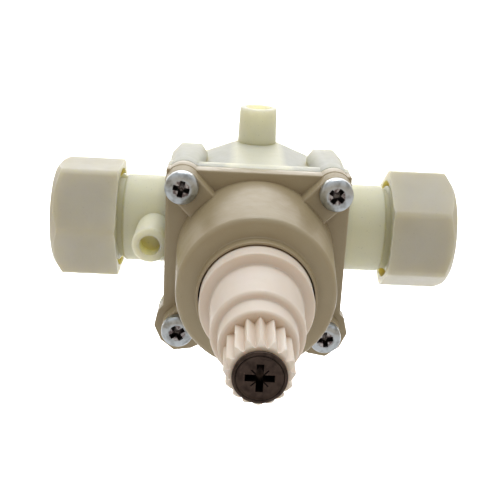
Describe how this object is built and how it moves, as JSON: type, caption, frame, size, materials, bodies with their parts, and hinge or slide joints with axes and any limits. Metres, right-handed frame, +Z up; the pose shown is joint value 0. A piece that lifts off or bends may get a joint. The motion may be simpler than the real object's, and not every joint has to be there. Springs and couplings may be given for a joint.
{
  "type": "diverter valve",
  "caption": "Plastic diverter valve: body with a union nut at each end, a top spigot and a side nipple, square screwed cap with a domed neck, and a splined spindle that turns a shutter.",
  "frame": {"origin": "where the axis of the two pipe ports crosses the spindle's axis", "axes": "+X along the port axis to the right-hand nut, -Y out along the spindle, +Z up along the hose spigot"},
  "size_m": [0.0946, 0.099, 0.048],
  "materials": {
    "natural_nylon": "moulded natural nylon, slightly see-through",
    "nut_nylon": "moulded natural nylon, milky",
    "beige_plastic": "moulded, olive beige",
    "cream_acetal": "moulded, cream",
    "zinc_plate": "bright zinc plated",
    "dark_bronze": "dark bronze",
    "brass": "turned",
    "black_rubber": "moulded",
    "white_acetal": "moulded",
    "spring_steel": "drawn wire"
  },
  "bodies": {
    "valve_body": {"valve_body": "natural_nylon", "cap": "beige_plastic", "cap_screw_upper_left": "zinc_plate", "cap_screw_upper_right": "zinc_plate", "cap_screw_lower_left": "zinc_plate", "cap_screw_lower_right": "zinc_plate", "body_seal": "black_rubber", "thrust_washer": "white_acetal", "rear_bush": "white_acetal", "pipe_seal_left": "black_rubber", "pipe_seal_right": "black_rubber"},
    "spindle": {"spindle": "cream_acetal", "spindle_screw": "dark_bronze", "screw_insert": "brass", "spindle_seal_front": "black_rubber", "spindle_seal_rear": "black_rubber", "rotor": "white_acetal", "shutter_holder": "white_acetal", "shutter_spring": "spring_steel", "shutter_seal": "black_rubber"},
    "grip_ring_left": {"grip_ring_left": "white_acetal"},
    "union_nut_left": {"union_nut_left": "nut_nylon"},
    "grip_ring_right": {"grip_ring_right": "white_acetal"},
    "union_nut_right": {"union_nut_right": "nut_nylon"}
  },
  "joints": [
    {"name": "spindle_turn", "type": "hinge", "parent": "valve_body", "child": "spindle", "pos_m": [0, 0, 0], "axis": [0, -1, 0], "range_deg": [-90, 90]},
    {"name": "left_ring_slide", "type": "slide", "parent": "valve_body", "child": "grip_ring_left", "axis": [-1, 0, 0], "range_m": [0, 0.00544]},
    {"name": "left_nut_turn", "type": "hinge", "parent": "grip_ring_left", "child": "union_nut_left", "pos_m": [0, 0, 0], "axis": [-1, 0, 0], "range_deg": [0, 1080]},
    {"name": "right_ring_slide", "type": "slide", "parent": "valve_body", "child": "grip_ring_right", "axis": [1, 0, 0], "range_m": [0, 0.00544]},
    {"name": "right_nut_turn", "type": "hinge", "parent": "grip_ring_right", "child": "union_nut_right", "pos_m": [0, 0, 0], "axis": [1, 0, 0], "range_deg": [0, 1080]}
  ],
  "couplings": [
    {"joint": "left_ring_slide", "follows": "left_nut_turn", "m_per_rad": 0.00028871},
    {"joint": "right_ring_slide", "follows": "right_nut_turn", "m_per_rad": 0.00028871}
  ]
}
